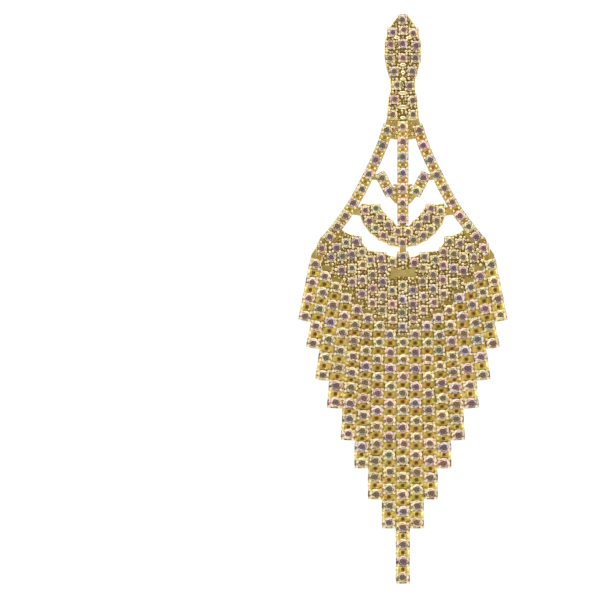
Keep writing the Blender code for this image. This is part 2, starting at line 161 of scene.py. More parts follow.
# Shares of the length, across from the middle and up from the ear post
# Head and neck: stones on the middle line and on one side
HEAD_MIDDLE = [(0, 0.0563), (0, 0.0370), (0, 0.0132), (0, -0.0106)]
HEAD_SIDE = [
    (0.0183, 0.0335), (0.0222, 0.0111), (0.0222, -0.0114), (0.0162, -0.0347),
    (0.0113, -0.0599), (0.0157, -0.0852), (0.0176, -0.1100),
]
HEAD_OUTLINE = [
    (0, 0.0665), (0.0079, 0.0644), (0.0167, 0.0537), (0.0264, 0.0387), (0.0320, 0.0176),
    (0.0327, -0.0053), (0.0290, -0.0282), (0.0229, -0.0475), (0.0218, -0.0634),
    (0.0264, -0.0863), (0.0285, -0.1092), (0.0264, -0.1202), (0, -0.1202),
]

# Gold bars between the head's and neck's stones: centre, width and height
HEAD_BARS = [
    ((0.0105, 0.0240), 0.0140, 0.0070), ((0, -0.0235), 0.0150, 0.0080),
    ((0, -0.0370), 0.0100, 0.0100), ((0, -0.0485), 0.0140, 0.0070),
    ((0, -0.0730), 0.0230, 0.0085), ((0, -0.0975), 0.0240, 0.0100),
    ((0, -0.1165), 0.0130, 0.0075),
]

# Rail stones, from the neck to the end of the V
RAIL_STONES = [
    (0.0275, -0.1373), (0.0363, -0.1646), (0.0475, -0.1907), (0.0599, -0.2162), (0.0725, -0.2412),
    (0.0863, -0.2658), (0.1011, -0.2887), (0.1151, -0.3074), (0.1294, -0.3255),
]

# The frame's webs below the neck and between the leaves, and the bars on the second
NECK_WEB = [
    (0, -0.1202), (0.0264, -0.1202), (0.0326, -0.1426),
    (0.0273, -0.1514), (0.0141, -0.1540), (0, -0.1549),
]
LEAF_WEB = [(0, -0.2359), (0.0158, -0.2324), (0.0246, -0.2535), (0.0141, -0.2658), (0, -0.2729)]
WEB_BARS = [((0.0158, -0.2390), 0.0100, 0.0075), ((0.0158, -0.2480), 0.0120, 0.0065)]

# Stem: its first and last stones
STEM_FIRST = (0, -0.1313)
STEM_LAST = (0, -0.2940)
STEM_COUNT = 7

# Leaves, from the stem outwards
LEAF_STONES = [(0.0250, -0.2447), (0.0370, -0.2218)]

# Crescent: middle stone, one side's stones and one side's outline
CRESCENT_MIDDLE = [(0, -0.3352)]
CRESCENT_SIDE = [
    (0.0180, -0.3317), (0.0349, -0.3234), (0.0489, -0.3116), (0.0599, -0.2965), (0.0669, -0.2794),
    (0.0093, -0.3155), (0.0255, -0.3053), (0.0393, -0.2926), (0.0486, -0.2768),
]
CRESCENT_OUTLINE = [
    (0, -0.3056), (0.0114, -0.3056), (0.0176, -0.2972), (0.0317, -0.2836), (0.0423, -0.2665),
    (0.0581, -0.2676), (0.0722, -0.2669), (0.0775, -0.2808), (0.0704, -0.3019), (0.0581, -0.3187),
    (0.0414, -0.3324), (0.0211, -0.3419), (0, -0.3451),
]

# The V: its lowest stones carry the strands, and more stand above each
V_MIDDLE = [(0, -0.4842), (0, -0.4595), (0, -0.4349), (0, -0.4102), (0, -0.3609)]
V_LOWEST = [
    (0, -0.4842), (0.0180, -0.4692), (0.0357, -0.4542), (0.0537, -0.4410), (0.0711, -0.4252),
    (0.0889, -0.4055), (0.1070, -0.3847), (0.1254, -0.3627), (0.1419, -0.3451),
]
V_UPPER = [
    (0.0180, -0.4445), (0.0180, -0.4199),
    (0.0357, -0.4296), (0.0357, -0.4049), (0.0357, -0.3806), (0.0194, -0.3704), (0.0379, -0.3618),
    (0.0537, -0.4164), (0.0537, -0.3917), (0.0563, -0.3667),
    (0.0711, -0.4005), (0.0718, -0.3759), (0.0722, -0.3521),
    (0.0889, -0.3808), (0.0894, -0.3562), (0.0815, -0.3335),
    (0.1070, -0.3602), (0.0996, -0.3368), (0.1169, -0.3447),
]
V_TOP = [
    (0.1532, -0.3433), (0.1454, -0.3275), (0.1280, -0.3419), (0.1202, -0.3331), (0.1053, -0.3146),
    (0.0898, -0.3213), (0.0783, -0.3236), (0.0704, -0.3363), (0.0616, -0.3486), (0.0379, -0.3514),
    (0.0211, -0.3585), (0.0116, -0.3627), (0.0099, -0.3514), (0, -0.3514),
]

# The bare bow above the V's middle
BOW = [
    (0, -0.3830), (0.0110, -0.3812), (0.0232, -0.3775), (0.0222, -0.3880), (0.0238, -0.4010),
    (0.0120, -0.3975), (0, -0.3962),
]

# Fringe, from the middle outwards: count of stones, first stone and last stone
STRANDS = [
    (15, (0, -0.5123), (0, -0.9252)),
    (12, (0.0220, -0.4974), (0.0245, -0.8283)),
    (11, (0.0423, -0.4824), (0.0491, -0.7773)),
    (10, (0.0620, -0.4692), (0.0729, -0.7227)),
    (9, (0.0810, -0.4533), (0.0968, -0.6734)),
    (7, (0.0993, -0.4340), (0.1208, -0.6171)),
    (6, (0.1176, -0.4146), (0.1408, -0.5678)),
    (5, (0.1349, -0.3944), (0.1567, -0.5114)),
    (4, (0.1537, -0.3741), (0.1711, -0.4639)),
]


# Points in the XZ plane

def at(share, flip=1):
    """A share of the length as a point, on either side."""
    return Vector((share[0] * LENGTH * flip, share[1] * LENGTH))


def points(shares, flip=1):
    """Several shares as points."""
    return [at(share, flip) for share in shares]


def both(middle, side):
    """The points on the middle line, then those of one side, each with its mirror point."""
    return points(middle) + [at(share, flip) for share in side for flip in (1, -1)]


def closed(right):
    """A closed outline from its right half, whose ends are on the middle line."""
    return right + [Vector((-p.x, p.y)) for p in reversed(right) if p.x > SAME_PLACE]


def evenly(first, last, count):
    """Points at even steps from the first to the last."""
    return [first.lerp(last, i / (count - 1)) for i in range(count)]


# Node tree helpers

def fill(tree, node, given):
    """Wires outputs to a node's inputs, or sets the inputs to plain values."""
    for name, value in given.items():
        if isinstance(value, bpy.types.NodeSocket):
            tree.links.new(value, node.inputs[name])
        else:
            node.inputs[name].default_value = value


def add(tree, kind, given=None, **settings):
    """A node with its settings and what its inputs, by name or number, are given."""
    node = tree.nodes.new(kind)
    for name, value in settings.items():
        setattr(node, name, value)
    fill(tree, node, given or {})
    return node


def socket(tree, name, kind, way="INPUT", value=None):
    made = tree.interface.new_socket(name=name, in_out=way, socket_type=kind)
    if value is not None:
        made.default_value = value


def calc(tree, operation, *values, clamp=False):
    """The result of one sum on outputs and plain numbers."""
    given = dict(enumerate(values))
    return add(tree, "ShaderNodeMath", given, operation=operation, use_clamp=clamp).outputs[0]


def vector(tree, operation, *values):
    """The result of one sum on vectors."""
    given = dict(enumerate(values))
    return add(tree, "ShaderNodeVectorMath", given, operation=operation).outputs[0]


def combine(tree, **given):
    return add(tree, "ShaderNodeCombineXYZ", given).outputs[0]


def remap(tree, value, low, high, way="LINEAR"):
    """A value stretched so that low gives 0 and high gives 1."""
    given = {"Value": value, "From Min": low, "From Max": high}
    return add(tree, "ShaderNodeMapRange", given, interpolation_type=way).outputs["Result"]


def blend(tree, factor, one, two):
    """One colour turned into another by a factor kept between 0 and 1."""
    given = {"Factor": factor, "A": one, "B": two}
    mix = add(tree, "ShaderNodeMix", given, data_type="RGBA", clamp_factor=True)
    return mix.outputs["Result"]


def noise(tree, place, scale, detail, layer=None):
    """Cloudy noise, cut from four dimensions where it has a layer of its own."""
    given = {"Vector": place, "Scale": scale, "Detail": detail}
    if layer is None:
        return add(tree, "ShaderNodeTexNoise", given).outputs["Fac"]
    given["W"] = layer
    return add(tree, "ShaderNodeTexNoise", given, noise_dimensions="4D").outputs["Fac"]


def tint(tree, factor, tints):
    """The colour at a factor along a row of tints, each (place, red, green, blue)."""
    node = add(tree, "ShaderNodeValToRGB", {"Fac": factor})
    ramp = node.color_ramp
    while len(ramp.elements) > 1:
        ramp.elements.remove(ramp.elements[-1])
    ramp.elements[0].position = tints[0][0]
    ramp.elements[0].color = (*tints[0][1:], 1)
    for position, *colour in tints[1:]:
        ramp.elements.new(position).color = (*colour, 1)
    return node.outputs["Color"]


# Gold: what the surface group takes, with its usual values, and how its colour drifts
GOLD_INPUTS = (
    ("Bright", "NodeSocketColor", (0.9, 0.72, 0.42, 1)),
    ("Deep", "NodeSocketColor", (0.5, 0.32, 0.12, 1)),
    ("Olive", "NodeSocketColor", (0.76, 0.70, 0.16, 1)),
    # The next two colours are painted shade for hollows and painted highlights for raised edges,
    # tips and tops; the value after them says how much of each
    ("PaintedShade", "NodeSocketColor", (0.36, 0.19, 0.04, 1)),
    ("PaintedHighlight", "NodeSocketColor", (0.95, 0.86, 0.56, 1)),
    ("PaintedLight", "NodeSocketFloat", 0.0),
    ("Tone", "NodeSocketFloat", 0.0),
    ("Grain", "NodeSocketFloat", 900.0),
    ("Polish", "NodeSocketFloat", 0.2),
)
TONE_SHIFT = 0.6
DRIFT_DETAIL = 3.0
DRIFT_RATE = 57.0
DRIFT_RANGE = (0.35, 0.65)
GREEN_DETAIL = 2.0
GREEN_RATE = 31.0
GREEN_RANGE = (0.46, 0.64)
GREEN_LAYER = 3.7
MARKS_DETAIL = 4.0
MARKS_PER_GRAIN = 7.0
MARKS_ROUGHNESS = 0.22
MARKS_STRENGTH = 0.35


def tone_shift(tree, tone, rate, factor):
    """A factor moved up or down for each small part by its own tone."""
    wave = calc(tree, "SINE", calc(tree, "MULTIPLY", tone, rate))
    return calc(tree, "MULTIPLY_ADD", wave, TONE_SHIFT, factor)


def plated_colour(tree, given, place):
    """Bright and deep gold that drift into each other, with greener patches."""
    drift = remap(tree, noise(tree, place, given["Grain"], DRIFT_DETAIL), *DRIFT_RANGE)
    shifted = tone_shift(tree, given["Tone"], DRIFT_RATE, drift)
    warm = blend(tree, shifted, given["Deep"], given["Bright"])
    patches = noise(tree, place, given["Grain"], GREEN_DETAIL, GREEN_LAYER)
    green = remap(tree, patches, *GREEN_RANGE)
    shifted = tone_shift(tree, given["Tone"], GREEN_RATE, green)
    return blend(tree, shifted, warm, given["Olive"])


def gold_surface_group():
    """Plate colour that drifts, with painted shade in hollows and painted highlights on raised
    edges, tips and tops, and fine marks.
    """
    tree = bpy.data.node_groups.new("gold_surface", "ShaderNodeTree")
    for name, kind, value in GOLD_INPUTS:
        socket(tree, name, kind, value=value)
    socket(tree, "Color", "NodeSocketColor", "OUTPUT")
    socket(tree, "Roughness", "NodeSocketFloat", "OUTPUT")
    socket(tree, "Height", "NodeSocketFloat", "OUTPUT")
    given = add(tree, "NodeGroupInput").outputs
    place = add(tree, "ShaderNodeTexCoord").outputs["Object"]
    # Painted shade where the face's value is below zero, painted highlight where it is above
    painted_shade_share = calc(tree, "MULTIPLY", given["PaintedLight"], -1.0, clamp=True)
    with_painted_shade = blend(tree, painted_shade_share, plated_colour(tree, given, place), given["PaintedShade"])
    finer = calc(tree, "MULTIPLY", given["Grain"], MARKS_PER_GRAIN)
    marks = noise(tree, place, finer, MARKS_DETAIL)
    add(tree, "NodeGroupOutput", {
        "Color": blend(tree, given["PaintedLight"], with_painted_shade, given["PaintedHighlight"]),
        "Roughness": calc(tree, "MULTIPLY_ADD", marks, MARKS_ROUGHNESS, given["Polish"]),
        "Height": marks,
    })
    return tree


# Stones' painted reflections and glints: the rates turn a stone's own tone into their places,
# turns and tints
HEART_RATE = 37.0
HEART_OFFSET = (0.07, 0.07, 0.0)
STONE_MIDDLE = (0.5, 0.5, 0.0)
EXTENT_RATE = 11.7
SMALLEST_EXTENT = 0.85
EXTENT_SPREAD = 0.6
WEDGES = 4.0
TWIST_RATE = 6.283
RING_RATE = 26.0
HEART_RANGE = (0.13, 0.47)
# How strongly the painted facet flashes show
PAINTED_FLASH_STRENGTH = 0.6
PALE_RATE = 7.3
# Colours of the painted dark reflection in a stone's heart, chosen by its tone
DARK_TINTS = (
    (0.0, 0.13, 0.05, 0.13), (0.22, 0.08, 0.05, 0.08), (0.42, 0.18, 0.12, 0.05),
    (0.62, 0.20, 0.08, 0.11), (0.82, 0.09, 0.11, 0.05), (1.0, 0.12, 0.07, 0.16),
)
# Colours of the painted pale glints towards a stone's girdle, also its whole colour where the
# painted pattern is weak
PALE_TINTS = (
    (0.0, 0.80, 0.58, 0.44), (0.25, 0.66, 0.62, 0.38), (0.5, 0.82, 0.66, 0.36),
    (0.75, 0.78, 0.52, 0.46), (1.0, 0.60, 0.53, 0.54),
)


def around_heart(tree, tone):
    """Angle and distance round a stone's heart, which sits off the middle by its tone."""
    swing = calc(tree, "MULTIPLY", tone, HEART_RATE)
    aside = combine(tree, X=calc(tree, "SINE", swing), Y=calc(tree, "COSINE", swing))
    heart = vector(tree, "MULTIPLY_ADD", aside, HEART_OFFSET, STONE_MIDDLE)
    flat = add(tree, "ShaderNodeUVMap", uv_map="UVMap").outputs["UV"]
    away = vector(tree, "SUBTRACT", flat, heart)
    parts = add(tree, "ShaderNodeSeparateXYZ", {0: away}).outputs
    length = add(tree, "ShaderNodeVectorMath", {0: away}, operation="LENGTH")
    return calc(tree, "ARCTAN2", parts["Y"], parts["X"]), length.outputs["Value"]


def painted_heart_shade(tree, tone, radius):
    """Painted dark reflection under the table and painted pale glints towards the girdle, wider
    or narrower by the tone.
    """
    wrapped = calc(tree, "FRACT", calc(tree, "MULTIPLY", tone, EXTENT_RATE))
    extent = calc(tree, "MULTIPLY_ADD", wrapped, EXTENT_SPREAD, SMALLEST_EXTENT)
    return remap(tree, calc(tree, "DIVIDE", radius, extent), *HEART_RANGE, "SMOOTHSTEP")


def painted_facet_flashes(tree, tone, angle, radius):
    """Painted facet flashes: four wedges of painted light and dark, turned by the tone and
    crossed by rings.
    """
    twist = calc(tree, "MULTIPLY", tone, TWIST_RATE)
    wedge = calc(tree, "SINE", calc(tree, "MULTIPLY_ADD", angle, WEDGES, twist))
    ripple = calc(tree, "SINE", calc(tree, "MULTIPLY", radius, RING_RATE))
    return calc(tree, "MULTIPLY", wedge, ripple)


def painted_stone_glints_group():
    """The colour of a foiled, coated stone with its painted reflections: a painted dark heart,
    painted pale glints, painted facet flashes in wedges and rings, and a tint of its own.
    """
    tree = bpy.data.node_groups.new("stone_painted_glints", "ShaderNodeTree")
    socket(tree, "Tone", "NodeSocketFloat", value=0.5)
    socket(tree, "Depth", "NodeSocketFloat", value=0.8)
    socket(tree, "Color", "NodeSocketColor", "OUTPUT")
    given = add(tree, "NodeGroupInput").outputs
    tone = given["Tone"]
    angle, radius = around_heart(tree, tone)
    painted_flashes = painted_facet_flashes(tree, tone, angle, radius)
    shade = calc(tree, "MULTIPLY_ADD", painted_flashes, PAINTED_FLASH_STRENGTH, painted_heart_shade(tree, tone, radius))
    dark = tint(tree, tone, DARK_TINTS)
    pale = tint(tree, calc(tree, "FRACT", calc(tree, "MULTIPLY", tone, PALE_RATE)), PALE_TINTS)
    mixed = blend(tree, shade, dark, pale)
    add(tree, "NodeGroupOutput", {"Color": blend(tree, given["Depth"], pale, mixed)})
    return tree


GOLD_SURFACE = gold_surface_group()
STONE_PAINTED_GLINTS = painted_stone_glints_group()


# Materials

def new_material(name):
    material = bpy.data.materials.new(name)
    material.use_nodes = True
    return material, material.node_tree, material.node_tree.nodes["Principled BSDF"]


def carried(tree, name):
    """A value that the mesh carries on its faces or points."""
    return add(tree, "ShaderNodeAttribute", attribute_name=name).outputs["Fac"]


def gold(name, bright, deep, olive, grain, polish, relief):
    """Gold plate with its own colours, grain per metre and depth of marks."""
    material, tree, shader = new_material(name)
    given = {
        "PaintedLight": carried(tree, "painted_light"), "Tone": carried(tree, "tone"), "Bright": (*bright, 1),
        "Deep": (*deep, 1), "Olive": (*olive, 1), "Grain": grain, "Polish": polish,
    }
    surface = add(tree, "ShaderNodeGroup", given, node_tree=GOLD_SURFACE).outputs
    given = {"Strength": MARKS_STRENGTH, "Distance": relief, "Height": surface["Height"]}
    fill(tree, shader, {
        "Base Color": surface["Color"], "Roughness": surface["Roughness"], "Metallic": 1.0,
        "Normal": add(tree, "ShaderNodeBump", given).outputs["Normal"],
    })
    return material


def crystal(name, depth):
    """A clear stone with foil behind it and a thin rainbow coating, whose colour carries painted
    dark reflections and painted glints as strongly as depth says.
    """
    material, tree, shader = new_material(name)
    given = {"Depth": depth, "Tone": carried(tree, "tone")}
    glint_colour = add(tree, "ShaderNodeGroup", given, node_tree=STONE_PAINTED_GLINTS)
    fill(tree, shader, {
        "Base Color": glint_colour.outputs["Color"], "Metallic": 0.7, "Roughness": 0.14, "IOR": 1.6,
        "Coat Weight": 0.35, "Coat Roughness": 0.02,
    })
    return material


CUP_GOLD = gold(
    "cup_gold", bright=(0.94, 0.79, 0.32), deep=(0.84, 0.60, 0.20), olive=(0.76, 0.70, 0.16),
    grain=450.0, polish=0.22, relief=0.00003,
)
CAST_GOLD = gold(
    "cast_gold", bright=(0.92, 0.74, 0.26), deep=(0.86, 0.61, 0.17), olive=(0.83, 0.72, 0.22),
    grain=420.0, polish=0.36, relief=0.00006,
)
POST_GOLD = gold(
    "post_gold", bright=(0.95, 0.82, 0.46), deep=(0.82, 0.62, 0.26), olive=(0.88, 0.76, 0.38),
    grain=500.0, polish=0.10, relief=0.00001,
)
CRYSTAL = crystal("coated_crystal", depth=0.85)


# Small shapes that repeat

def new_form():
    """A mesh to build in, whose faces carry their painted shade and highlights."""
    bm = bmesh.new()
    bm.faces.layers.float.new("painted_light")
    return bm


def mesh_object(name, bm, materials=()):
    """The finished mesh as an object, with points in one place made one."""
    bmesh.ops.remove_doubles(bm, verts=bm.verts, dist=SAME_PLACE)
    bmesh.ops.recalc_face_normals(bm, faces=bm.faces)
    mesh = bpy.data.meshes.new(name)
    bm.to_mesh(mesh)
    bm.free()
    for material in materials:
        mesh.materials.append(material)
    made = bpy.data.objects.new(name, mesh)
    bpy.context.collection.objects.link(made)
    return made


def paint_shade_or_highlight(bm, faces, amount):
    """Marks faces with painted shade, down to -1, or painted highlights, up to 1."""
    layer = bm.faces.layers.float["painted_light"]
    for face in faces:
        face[layer] = amount


def ring(bm, places):
    """New corners of a mesh, in order."""
    return [bm.verts.new(place) for place in places]


def bridge(bm, one, two):
    """A band of four-sided faces between two rings of the same count."""
    made = []
    for i in range(len(one)):
        j = (i + 1) % len(one)
        made.append(bm.faces.new((one[i], one[j], two[j], two[i])))
    return made


def circle(radius, depth, sides, turn=0.0):
    places = []
    for i in range(sides):
        angle = turn + math.tau * i / sides
        places.append((radius * math.cos(angle), depth, radius * math.sin(angle)))
    return places


def cushion(half, corner, depth, steps=3):
    """A square with round corners, in the XZ plane."""
    places = []
    centre = (half - corner) * math.sqrt(2)
    for quarter in range(4):
        base = math.pi / 2 * quarter
        for i in range(steps + 1):
            angle = base + math.pi / 2 * i / steps
            x = centre * math.cos(base + math.pi / 4) + corner * math.cos(angle)
            z = centre * math.sin(base + math.pi / 4) + corner * math.sin(angle)
            places.append((x, depth, z))
    return places


def cup_shape(name, back):
    """A square cup with round corners, a rim, a round seat and four prongs, with painted
    highlights outside and painted shade on the inner wall under the stone.
    """
    seat, floor = STONE_RADIUS - HAIR, STONE_RADIUS - FLOOR_INSET
    levels = (
        (CUP_RADIUS * FOOT_SHARE, FOOT_CORNER, back),
        (CUP_RADIUS, CUP_CORNER, back - FOOT_RISE),
        (CUP_RADIUS, CUP_CORNER, GIRDLE + WALL_DROP),
        (CUP_RADIUS - LIP_INSET, CUP_CORNER, GIRDLE + HAIR),
        (seat, seat - NEARLY_ROUND, GIRDLE + WALL_DROP),
        (floor, floor - NEARLY_ROUND, GIRDLE + FLOOR_DROP),
    )
    bm = new_form()
    rings = [ring(bm, cushion(*level)) for level in levels]
    bm.faces.new(rings[0])
    for painted_light, one, two in zip(CUP_PAINTED_LIGHT, rings, rings[1:]):
        paint_shade_or_highlight(bm, bridge(bm, one, two), painted_light)
    bm.faces.new(rings[-1])
    for i in range(4):
        prong(bm, math.pi / 4 + math.pi / 2 * i)
    return mesh_object(name, bm)


def prong(bm, angle):
    """A round claw that leans over the stone's edge and ends in a bead, with painted highlights
    brightest at the bead.
    """
    out = Vector((math.cos(angle), 0, math.sin(angle)))
    side = Vector((-out.z, 0, out.x))
    # How far out, how thick and how deep, from the root to the bead
    levels = (
        (CUP_RADIUS + 0.00012, 0.00021, GIRDLE + 0.0004),
        (CUP_RADIUS + 0.00010, 0.00025, GIRDLE - 0.00006),
        (CUP_RADIUS + 0.00002, 0.00027, GIRDLE - 0.00020),
        (CUP_RADIUS - 0.00004, 0.00022, GIRDLE - 0.00030),
        (CUP_RADIUS - 0.00006, 0.00011, GIRDLE - 0.00034),
    )
    rings = []
    for reach, thick, depth in levels:
        centre = out * reach + Vector((0, depth, 0))
        rings.append(ring(bm, [
            centre + thick * (math.cos(a) * out + math.sin(a) * side)
            for a in (math.tau * k / 6 for k in range(6))
        ]))
    bm.faces.new(rings[0])
    for painted_light, one, two in zip(PRONG_PAINTED_HIGHLIGHT, rings, rings[1:]):
        paint_shade_or_highlight(bm, bridge(bm, one, two), painted_light)
    paint_shade_or_highlight(bm, [bm.faces.new(rings[-1])], PRONG_PAINTED_HIGHLIGHT[-1])


def stone_shape(name):
    """A brilliant: a table, eight star, eight kite and sixteen girdle facets, and a point."""
    bm = bmesh.new()
    bezel_level = GIRDLE - TABLE_RISE * BEZEL_RISE_SHARE
    table = ring(bm, circle(STONE_RADIUS * TABLE_SHARE, GIRDLE - TABLE_RISE, 8, math.pi / 8))
    bezel = ring(bm, circle(STONE_RADIUS * BEZEL_SHARE, bezel_level, 8))
    girdle = ring(bm, circle(STONE_RADIUS, GIRDLE - HAIR, 16))
    culet = bm.verts.new((0, GIRDLE + CULET_DROP, 0))
    bm.faces.new(table)
    for i in range(8):
        j = (i + 1) % 8
        before, here, after = girdle[2 * i], girdle[2 * i + 1], girdle[(2 * i + 2) % 16]
        bm.faces.new((table[i], table[j], bezel[j]))
        bm.faces.new((table[i], bezel[j], here, bezel[i]))
        bm.faces.new((bezel[i], here, before))
        bm.faces.new((bezel[j], after, here))
    for i in range(16):
        bm.faces.new((girdle[i], girdle[(i + 1) % 16], culet))
    map_flat(bm)
    return mesh_object(name, bm)


def map_flat(bm):
    """The stone seen from the front fills its colour map."""
    layer = bm.loops.layers.uv.new("UVMap")
    for face in bm.faces:
        for loop in face.loops:
            spot = loop.vert.co
            loop[layer].uv = [0.5 + across / STONE_RADIUS / 2 for across in (spot.x, spot.z)]


# The grid of a strap, across in shares of half its width and down in shares of its length
STRAP_ACROSS = (-1.0, -0.9, -0.66, -0.42, -0.26, -0.19, 0.19, 0.26, 0.42, 0.66, 0.9, 1.0)
STRAP_DOWN = (-0.5, -0.26, -0.14, 0.0, 0.14, 0.26, 0.5)
POCKET_STRIPS = (2, 3)


def strap_depth(across, down, front, rise):
    """How deep a strap's front lies: its two lobes stand out and its pocket is let in."""
    aside = min(abs(abs(across) - LOBE_CENTRE) / LOBE_REACH, 1.0)
    depth = front - rise * math.cos(aside * math.pi / 2) * math.cos(math.pi * down)
    if abs(across) < POCKET_HALF and abs(down) < POCKET_HALF:
        depth += POCKET_DROP
    return depth


def strap_painted_light(strip, across, pocket, lobes):
    """The painted shade or painted highlight of one patch of a strap's front, in its strip and so
    far from the middle.
    """
    if strip in (0, len(STRAP_DOWN) - 2):
        return STRAP_END_PAINTED_HIGHLIGHT
    if across < POCKET_HALF and strip in POCKET_STRIPS:
        return pocket
    return lobes[min(int(across * len(lobes)), len(lobes) - 1)]


def strap_shape(name, front, back, rise, pocket, lobes):
    """A strap between two cups, one unit long: two round lobes and a small pocket, with painted
    shade and highlights across its lobes, painted shade in its pocket and painted highlights at
    its ends and sides.
    """
    bm = new_form()
    rows = [
        ring(bm, [(a * CUP_RADIUS, strap_depth(a, b, front, rise), b) for a in STRAP_ACROSS])
        for b in STRAP_DOWN
    ]
    for strip, (one, two) in enumerate(zip(rows, rows[1:])):
        for j in range(len(STRAP_ACROSS) - 1):
            face = bm.faces.new((one[j], one[j + 1], two[j + 1], two[j]))
            across = abs(STRAP_ACROSS[j] + STRAP_ACROSS[j + 1]) / 2
            paint_shade_or_highlight(bm, [face], strap_painted_light(strip, across, pocket, lobes))
    front_ring = rows[0] + [row[-1] for row in rows[1:]] + rows[-1][-2::-1]
    front_ring += [row[0] for row in rows[-2:0:-1]]
    back_ring = ring(bm, [(vert.co.x, back, vert.co.z) for vert in front_ring])
    paint_shade_or_highlight(bm, bridge(bm, front_ring, back_ring), STRAP_SIDE_PAINTED_HIGHLIGHT)
    bm.faces.new(back_ring)
    return mesh_object(name, bm)


# The rings of a grain: radius, and depth from its level
BEAD_RINGS = ((0.5, 0.0005), (0.5, 0.0), (0.4, -0.00018), (0.18, -0.00027))


def bead_shape(name, level):
    """A round grain, one unit across, that stands on a plate a little behind the level, with
    painted shade round its foot and painted highlights on its top.
    """
    bm = new_form()
    rings = [ring(bm, circle(radius, level + depth, 6)) for radius, depth in BEAD_RINGS]
    bm.faces.new(rings[0])
    for painted_light, one, two in zip(BEAD_PAINTED_LIGHT, rings, rings[1:]):
        paint_shade_or_highlight(bm, bridge(bm, one, two), painted_light)
    paint_shade_or_highlight(bm, [bm.faces.new(rings[-1])], BEAD_PAINTED_LIGHT[-1])
    return mesh_object(name, bm)


# Geometry nodes: stones, cups and links set along points

def setting_sockets(tree):
    """What the tree is given for one piece, and the set work that it returns."""
    socket(tree, "Seats", "NodeSocketGeometry")
    for name in ("Cup", "Stone", "Link"):
        socket(tree, name, "NodeSocketObject")
    socket(tree, "Cup Scale", "NodeSocketFloat", value=1.0)
    socket(tree, "Stone Tilt", "NodeSocketFloat", value=0.05)
    socket(tree, "Seed", "NodeSocketInt", value=1)
    socket(tree, "Metal", "NodeSocketMaterial")
    socket(tree, "Crystal", "NodeSocketMaterial")
    socket(tree, "Set Work", "NodeSocketGeometry", "OUTPUT")


def named_value(tree, name):
    """A number that each point carries."""
    node = add(tree, "GeometryNodeInputNamedAttribute", {"Name": name}, data_type="FLOAT")
    return node.outputs["Attribute"]


def leaning(tree, given, facing):
    """The way that a stone faces: as its cup does, and tilted a little at random."""
    asked = {"Min": (-1, -1, -1), "Seed": given["Seed"]}
    lean = add(tree, "FunctionNodeRandomValue", asked, data_type="FLOAT_VECTOR")
    asked = {0: output(lean, "Value"), "Scale": given["Stone Tilt"]}
    tilt = add(tree, "ShaderNodeVectorMath", asked, operation="SCALE")
    return vector(tree, "ADD", facing, tilt.outputs[0])


def with_tones(tree, given):
    """The seats, each with a random tone of its own."""
    tone = add(tree, "FunctionNodeRandomValue", {"Seed": given["Seed"]}, data_type="FLOAT")
    asked = {"Geometry": given["Seats"], "Name": "tone", "Value": output(tone, "Value")}
    kind = "GeometryNodeStoreNamedAttribute"
    return add(tree, kind, asked, data_type="FLOAT", domain="POINT").outputs["Geometry"]


def placed(tree, seats, chosen, pattern, facing, size, finish):
    """A pattern's shape on the chosen seats, in its finish."""
    asked = {"Object": pattern}
    shape = add(tree, "GeometryNodeObjectInfo", asked, transform_space="ORIGINAL")
    spin = add(tree, "FunctionNodeEulerToRotation", {0: facing}).outputs[0]
    copies = add(tree, "GeometryNodeInstanceOnPoints", {
        "Points": seats, "Selection": chosen, "Instance": shape.outputs["Geometry"],
        "Rotation": spin, "Scale": size,
    })
    real = add(tree, "GeometryNodeRealizeInstances", {"Geometry": copies.outputs["Instances"]})
    asked = {"Geometry": real.outputs["Geometry"], "Material": finish}
    return add(tree, "GeometryNodeSetMaterial", asked).outputs["Geometry"]


def setting_tree():
    """Cups and stones on the points that have no reach, links on the rest."""
    tree = bpy.data.node_groups.new("set_cups_and_stones", "GeometryNodeTree")
    setting_sockets(tree)
    given = add(tree, "NodeGroupInput").outputs
    reach, width = named_value(tree, "reach"), named_value(tree, "width")
    link = add(
        tree, "FunctionNodeCompare", {"A": reach, "B": 0.0},
        data_type="FLOAT", operation="GREATER_THAN",
    ).outputs["Result"]
    seat = add(tree, "FunctionNodeBooleanMath", {0: link}, operation="NOT").outputs[0]
    seats = with_tones(tree, given)
    facing = combine(tree, Y=named_value(tree, "turn"))
    # The stones are stretched less than their cups
    scale = given["Cup Scale"]
    rest = calc(tree, "MULTIPLY", scale, 1 - STONE_STRETCH)
    stretch = calc(tree, "MULTIPLY_ADD", width, STONE_STRETCH, rest)
    stone_size = combine(tree, X=stretch, Y=1.0, Z=scale)
    cup_size = combine(tree, X=width, Y=1.0, Z=scale)
    link_size = combine(tree, X=width, Y=1.0, Z=reach)
    join = add(tree, "GeometryNodeJoinGeometry")
    for pattern, chosen, way, size, finish in (
        ("Cup", seat, facing, cup_size, "Metal"),
        ("Stone", seat, leaning(tree, given, facing), stone_size, "Crystal"),
        ("Link", link, facing, link_size, "Metal"),
    ):
        work = placed(tree, seats, chosen, given[pattern], way, size, given[finish])
        fill(tree, join, {"Geometry": work})
    add(tree, "NodeGroupOutput", {"Set Work": join.outputs["Geometry"]})
    return tree


def output(node, name):
    """The output of that name that is on for the node's data type."""
    return next(s for s in node.outputs if s.name == name and s.enabled)


